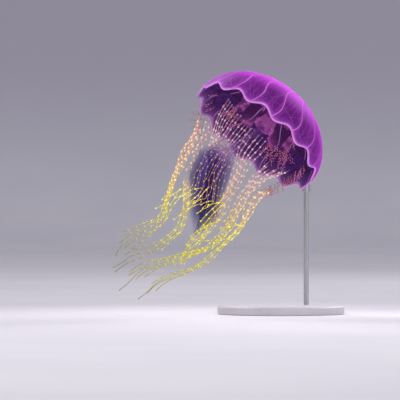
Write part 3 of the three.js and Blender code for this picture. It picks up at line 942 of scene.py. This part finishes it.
tentacle = {
    "ringShare": 0.95,
    "start": -34,
    "step": 2.6,  # between the points of a strand
    "halfAngle": math.radians(19),  # of a bunch at its pad
    "gather": {"s": [-60, 70, 150, 230, 290], "share": [1, 1, 0.58, 1.15, 1.3]},
    "halfWidth": [14, 14, 12, 9, 6, 5, 9, 12, 11],  # by distance, as the bunches' x
    "sway": (1.6, 135),
    "wander": (0.9, 74, 0.8, 41),  # two fine waves of each strand: size and length of each
    "threadRadius": (0.56, 0.4),
    "beadRadius": (1.28, 0.9),
    "asleep": 0.24,  # radius of the thread before it wakes: thickens and carries beads
}
# Where each bunch runs from side to side, by distance s, how wide it spreads, and where its strands wake
# and end. Each kind of strand has its nearest and farthest end, its count, and the middle and half width
# of its share of the bunch. Short strands end in a flick to the left, brief ones just under the bell.
lineSteps = [-30, 0, 50, 97, 136, 169, 204, 250, 296]
bunches = [
    {
        "x": [84, 76, 59, 60, 66, 62, 55, 32, 22],
        "spread": 0.6, "tone": 0.8, "wake": 40, "long": (252, 282, 4, 0, 1),
        "short": (140, 172, 2, 0, 0.85),
    },
    {
        "x": [59, 45, 41, 48, 52, 50, 28, 2, -7],
        "halfWidth": [14, 13, 8, 6, 6, 6, 9, 12, 13],
        "spread": 0.9, "wake": -14, "long": (246, 290, 5, 0, 1), "short": (136, 172, 3, 0, 0.9),
    },
    {
        "x": [6, 5, 19, 27, 29, 31, 32, 30, 26],
        "halfWidth": [14, 14, 12, 10, 10, 10, 13, 13, 12],
        "briefX": [-10, -11, -5, 2, 2, 2, 2, 2, 2],
        "wake": -54, "long": (168, 212, 6, -0.2, 0.75),
        "short": (118, 142, 1, -0.2, 0.5), "brief": (42, 66, 5, 0.65, 0.5), "briefWake": -54,
    },
    {
        "x": [-57, -41, -30, -29, -4, 5, -2, -18, -29],
        "briefX": [-44, -45, -32, -24, -20, -20, -20, -20, -20],
        "wake": 84, "long": (196, 290, 4, 0, 1), "short": (140, 158, 2, 0, 0.85),
        "brief": (36, 62, 7, -0.35, 0.8), "briefWake": -54,
    },
    {
        "x": [-84, -79, -64, -54, -36, -24, -30, -40, -33],
        "halfWidth": [14, 12, 8, 7, 5, 6, 11, 14, 12],
        "briefX": [-84, -70, -55, -47, -40, -40, -40, -40, -40],
        "tone": 0.8, "wake": 29, "long": (250, 282, 5, 0, 1),
        "short": (150, 172, 2, 0, 1), "brief": (68, 92, 3, -0.5, 1), "briefWake": 12,
    },
    {
        "x": [-59, -50, -36, -30, -26, -24, -24, -24, -24],
        "wake": 118, "long": (150, 182, 2, 0, 1), "short": (140, 150, 1, 0, 0.85),
    },
    {
        "x": [0, 0, -6, -6, -5, -8, -8, -8, -8],
        "wake": 118, "long": (144, 160, 2, 0, 1), "short": (132, 140, 1, 0, 0.85),
    },
    {
        "x": [59, 44, 28, 22, 22, 20, 18, 18, 18],
        "wake": 116, "long": (160, 186, 2, 0, 1), "short": (140, 150, 1, 0, 0.85),
    },
]


def strandLine(cluster, share, s, seed, column="x"):  # share from -1 to 1 across the bunch
    middle = 2 * math.pi * cluster / len(bunches)
    angle = middle + share * tentacle["halfAngle"] * along(tentacle["gather"], "share", s)
    table = {"s": lineSteps, "x": bunches[cluster].get(column, bunches[cluster]["x"])}
    order = 1 if math.sin(middle) < -0.1 else -1
    spread = order * share * bunches[cluster].get("spread", 1)
    halfWidth = {"s": lineSteps, "mm": bunches[cluster].get("halfWidth", tentacle["halfWidth"])}
    gathered = along(table, "x", s) + spread * along(halfWidth, "mm", s)
    across = along(trail, "wide", s) * tentacle["ringShare"] * np.cos(angle)
    free = ease((s + 24) / 60)
    size, length, fineSize, fineLength = tentacle["wander"]
    phase = 2 * math.pi * chance(seed, cluster + 41)
    own = size * np.sin(2 * math.pi * s / length + phase)
    own = (own + fineSize * np.sin(2 * math.pi * s / fineLength + 2.3 * phase)) * free
    sway = tentacle["sway"][0] * np.sin(2 * math.pi * s / tentacle["sway"][1] + cluster) * free
    x = across * (1 - free) + gathered * free + own + sway
    y = along(trail, "y", s) + along(trail, "deep", s) * tentacle["ringShare"] * np.sin(angle) - own + sway
    z = along(trail, "z", s) + across * np.sin(np.radians(along(trail, "tip", s)))
    return np.stack([x, y, z], -1)


def strand(points, s, ripe, tone, wake, scale=1.0):
    t = ease(s / trail["full"])
    awake = ease((s - wake) / 16)
    thick = np.interp(t, [0, 1], tentacle["threadRadius"]) * scale
    thick = tentacle["asleep"] + (thick - tentacle["asleep"]) * awake
    bead = np.interp(t, [0, 1], tentacle["beadRadius"]) * scale * awake
    look = {"ripe": ripe, "tone": tone, "dim": 1 - awake}
    return {"points": points, "thick": thick / 1000, "bead": bead / 1000, **look}


def clusterLines(cluster):
    row = bunches[cluster]
    lines = []
    for kind in ("long", "short", "brief"):
        nearest, farthest, count, middle, half = row.get(kind, (0, 0, 0, 0, 0))
        for i in range(count):
            seed = 17 * len(lines) + cluster
            tip = nearest + (farthest - nearest) * (1 if i == count // 2 else chance(seed, 5) ** 1.3)
            share = middle + half * (2 * (i + 0.5) / count - 1 + 0.5 / count * (chance(seed, 8) - 0.5))
            s = np.arange(tentacle["start"] - 5 * chance(seed, 2), tip, tentacle["step"])
            points = strandLine(cluster, share, s, seed, "briefX" if kind == "brief" else "x")
            ripe = np.interp(s, [-40, 30, 90, 120, 150, 215, 290], [0, 0.18, 0.38, 0.5, 0.64, 0.8, 1])
            if kind == "short":
                points = points + flickAt(s, tip, 0.8 + 0.5 * chance(seed, 6))
                ripe = np.interp(s, [-40, 60, tip - 26, tip - 14], [0, 0.26, 0.46, 0.66])
            wake = row.get("briefWake", row["wake"]) if kind == "brief" else row["wake"]
            wake += 14 * (chance(seed, 30) - 0.5)
            tone = row.get("tone", 0.2) * (0.4 + 0.6 * chance(seed, 3)) * (1 - ease((s - 70) / 90))
            lines.append(strand(points, s, ripe, tone, wake))
    return lines


tentacleTissue = strandTissue(
    "tentacleTissue",
    [
        (0.0, "#b884bc"), (0.15, "#dcb6ba"), (0.32, "#e0c4a4"), (0.5, "#e0c872"), (0.64, "#d6ca38"),
        (0.8, "#a8a020"), (1.0, "#605e14"),
    ],
    [
        (0.0, "#ffdcee"), (0.15, "#ffe8da"), (0.32, "#ffebc4"), (0.5, "#fceea0"), (0.64, "#f6f058"),
        (0.8, "#cfc82e"), (1.0, "#8a861e"),
    ],
    0.3,
)
for cluster in range(len(bunches)):
    lines = clusterLines(cluster)
    bunch = growStrands(f"tentacles{cluster + 1}", lines, tentacleTissue, Bead_Spacing=0.0115)
    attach(bunch, "root")
    lowers = [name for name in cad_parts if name.startswith(f"tentacle_{cluster + 1}_")]
    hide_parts(f"tentacles_{cluster + 1}_upper", *lowers)
    print(bunch.name, len(bunch.data.polygons))


# Fine strands from the frills of the oral arms, on the front

filament = {
    "count": 11,
    "tips": (142, 166),
    "across": {"s": [0, 50, 100, 150], "from": [-10, -26, -28, -28], "to": [10, 12, 18, 28]},
    "deep": {"s": [0, 50, 150], "front": [-20, -30, -26], "back": [-12, -20, -14]},
    "start": (-2, 16),
    "wake": 40,
    "scale": 0.78,
    "step": 2.4,
}


def filamentLine(i, s):
    t = (i + 0.5 + 0.5 * (chance(i, 13) - 0.5)) / filament["count"]
    left, right = along(filament["across"], "from", s), along(filament["across"], "to", s)
    front, back = along(filament["deep"], "front", s), along(filament["deep"], "back", s)
    deep = back + (front - back) * chance(i, 4)
    x = along(arm["middle"], "x", s) * 0.6 + left + (right - left) * t
    phase = 2 * math.pi * chance(i, 33)
    waver = 1.1 * np.sin(2 * math.pi * s / 43 + phase) + 0.5 * np.sin(2 * math.pi * s / 17 + 2 * phase)
    return np.stack([x + waver, along(trail, "y", s) + deep - 0.6 * waver, along(trail, "z", s)], -1)


def filamentLines():
    lines = []
    for i in range(filament["count"]):
        tip = np.interp(chance(i, 11), [0, 1], filament["tips"])
        start = np.interp(chance(i, 12), [0, 1], filament["start"])
        s = np.arange(start, tip, filament["step"])
        points = filamentLine(i, s) + flickAt(s, tip, 0.9 + 0.5 * chance(i, 7))
        ripe = np.interp(s, [start, 50, tip - 22, tip - 15], [0.0, 0.3, 0.45, 1.0])
        wake = filament["wake"] + 20 * (chance(i, 9) - 0.5)
        lines.append(strand(points, s, ripe, chance(i, 8) ** 2, wake, filament["scale"]))
    return lines


filamentTissue = strandTissue(
    "filamentTissue",
    [(0.0, "#6c4068"), (0.3, "#7a5470"), (0.5, "#987870"), (0.7, "#d8c43c"), (1.0, "#e4dc28")],
    [(0.0, "#b080a0"), (0.3, "#b89098"), (0.5, "#d4b49c"), (0.7, "#f8ec80"), (1.0, "#fcf660")],
    0.3,
)
filaments = growStrands("oralFilaments", filamentLines(), filamentTissue, Bead_Spacing=0.0105)
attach(filaments, "root")
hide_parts(*[f"oral_filaments_{k}" for k in range(1, 5)])
print("filaments", len(filaments.data.polygons))


# Curls: short wiry threads from the hems of the gonads and from the roots of the outer tentacles

curl = {
    "perGonad": (30, 24, 2, 4),
    "perBunch": {0: 34, 4: 15},  # how many on the roots of the outer two bunches
    "radius": 0.21,
    "bead": 0.52,
    "loop": 1.25,
}


def curlLine(start, drift, length, seed):
    random = np.random.default_rng(seed)
    t = np.linspace(0, 1, 26)
    drift = np.asarray(drift, float) / np.linalg.norm(drift)
    side = np.cross(drift, [0.3, 0.5, 0.8])
    side /= np.linalg.norm(side)
    other = np.cross(drift, side)
    turns = random.uniform(1.6, 3.2)
    phase, flip = random.uniform(0, 6.3), random.choice([-1, 1])
    size = curl["loop"] * random.uniform(0.6, 1.3) * (0.4 + 0.6 * t)
    around = phase + flip * turns * 2 * math.pi * t + 1.2 * np.sin(t * 5 + phase)
    ring = side * (size * np.cos(around))[:, None] + other * (size * np.sin(around))[:, None]
    ring -= ring[0]
    return np.asarray(start) + drift * (t * length)[:, None] + ring


def curlLines():
    lines = []
    random = np.random.default_rng(7)

    def add(start, drift, length, ripe):
        points = curlLine(start, drift, length, int(random.integers(1 << 30)))
        lines.append(
            {
                "points": points,
                "thick": curl["radius"] / 1000,
                "bead": curl["bead"] / 1000,
                "ripe": np.linspace(ripe, ripe + 0.25, len(points)),
                "tone": random.uniform(0, 1) ** 2,
                "dim": 0.0,
            }
        )

    for k, count in enumerate(curl["perGonad"]):
        outward = polar(0.7, math.radians(45 + 90 * k), -0.9)
        for _ in range(count):
            x, y = gonadLine(k, random.uniform(-0.75, 0.75), 0.0)
            start = (x, y, gonad["hem"] + random.uniform(0, 4))
            add(start, outward + random.normal(0, 0.6, 3), random.uniform(12, 26), 0.25)
    for cluster, count in curl["perBunch"].items():
        roots = [line["points"] for line in clusterLines(cluster)]
        outward = polar(0.8, math.pi * (cluster == 4), -0.8)
        inward = np.array([0.5, -0.1, -0.9])
        for _ in range(count):
            root = roots[int(random.integers(len(roots)))]
            start = root[int(random.integers(8, 36))]
            inside = float(np.clip(start[2] / 20 + 0.6, 0, 1))
            drift = outward + (inward - outward) * inside + random.normal(0, 0.35, 3)
            add(start, drift, random.uniform(8, 16), 0.3 * inside)
    return lines


curlTissue = strandTissue(
    "curlTissue",
    [(0.0, "#642c38"), (0.2, "#843a54"), (0.35, "#984080"), (1.0, "#c070b0")],
    [(0.0, "#985054"), (0.2, "#bc6c80"), (0.35, "#dc84bc"), (1.0, "#f4acdc")],
    0.25,
)
curls = growStrands("curls", curlLines(), curlTissue, Bead_Spacing=0.0042, Thread_Sides=5, Bead_Segments=6)
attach(curls, "root")
print("curls", len(curls.data.polygons))


# Pads that the tentacles grow from

pad = {"low": 19, "high": 44, "taper": 8, "swell": 3.2}


def makePads():
    across, up = bell["lining"]
    points, faces = [], []
    for cluster in range(len(bunches)):
        t = np.linspace(-1, 1, 40)
        ring = []
        for u in np.linspace(0, 2 * math.pi, 24, endpoint=False):
            low, high = pad["low"] + pad["taper"] * t**2, pad["high"] - pad["taper"] * t**2
            z = (low + high) / 2 + (high - low) / 2 * np.cos(u)
            full = np.sqrt(np.maximum(0, 1 - t**2))
            inset = 1.2 + pad["swell"] * (1 - math.sin(u)) * full * 0.5 + 1.0 * (1 - math.sin(u))
            radius = across * np.sqrt(1 - (z / up) ** 2) - inset
            radius = radius + 0.4 * np.sin(t * 30) * (math.sin(u) < 0)
            ring.append(polar(radius, 2 * math.pi * cluster / len(bunches) + t * tentacle["halfAngle"], z))
        addTube(points, faces, ring)
    return makeMesh("tentaclePads", np.concatenate(points), faces, [padTissue()])


def padTissue():
    material, tree = newMaterial("padTissue")
    speckle = place(tree, grain, Where=objectPlace(tree), Fineness=220.0)
    body = ramp(tree, speckle, [(0.3, "#3c1858"), (0.7, "#502870")])
    return jelly(material, body, 0.55, 0.1, 0.35, bump(tree, speckle, 0.3, 0.0006))


pads = makePads()
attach(pads, "root")
print("pads", len(pads.data.polygons))


# The stand keeps its own solids, with better finishes


def standPaint():
    material, tree = newMaterial("standPaint")
    where = objectPlace(tree)
    fine = place(tree, grain, Where=where, Fineness=1400.0)
    broad = place(tree, grain, Where=where, Fineness=18.0)
    body = ramp(tree, broad, [(0.3, "#c4c1c9"), (0.7, "#cecbd2")])
    return surface(
        material,
        Base_Color=body,
        Roughness=ramp(tree, fine, [(0.3, 0.38), (0.7, 0.52)]),
        Specular_IOR_Level=0.4,
        Normal=bump(tree, fine, 0.25, 0.0002),
    )


def brushedSteel():
    material, tree = newMaterial("brushedSteel")
    split = addNode(tree, "ShaderNodeSeparateXYZ")
    link(tree, objectPlace(tree), split.inputs[0])
    joined = addNode(tree, "ShaderNodeCombineXYZ")
    for i, scale in enumerate((2400.0, 2400.0, 40.0)):
        link(tree, times(tree, split.outputs[i], scale), joined.inputs[i])
    brushed = place(tree, grain, Where=joined.outputs[0], Fineness=1.0)
    return surface(
        material,
        Base_Color=ramp(tree, brushed, [(0.3, "#b9bbbf"), (0.7, "#c6c8cc")]),
        Metallic=1.0,
        Roughness=ramp(tree, brushed, [(0.3, 0.3), (0.7, 0.38)]),
        Normal=bump(tree, brushed, 0.08, 0.00005),
    )


finishes = {"stand_base": standPaint(), "stand_rod": brushedSteel()}
finishes["stand_saddle"] = finishes["stand_rod"]
for name, material in finishes.items():
    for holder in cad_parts[name].material_slots:
        holder.material = material
print("stand finished")
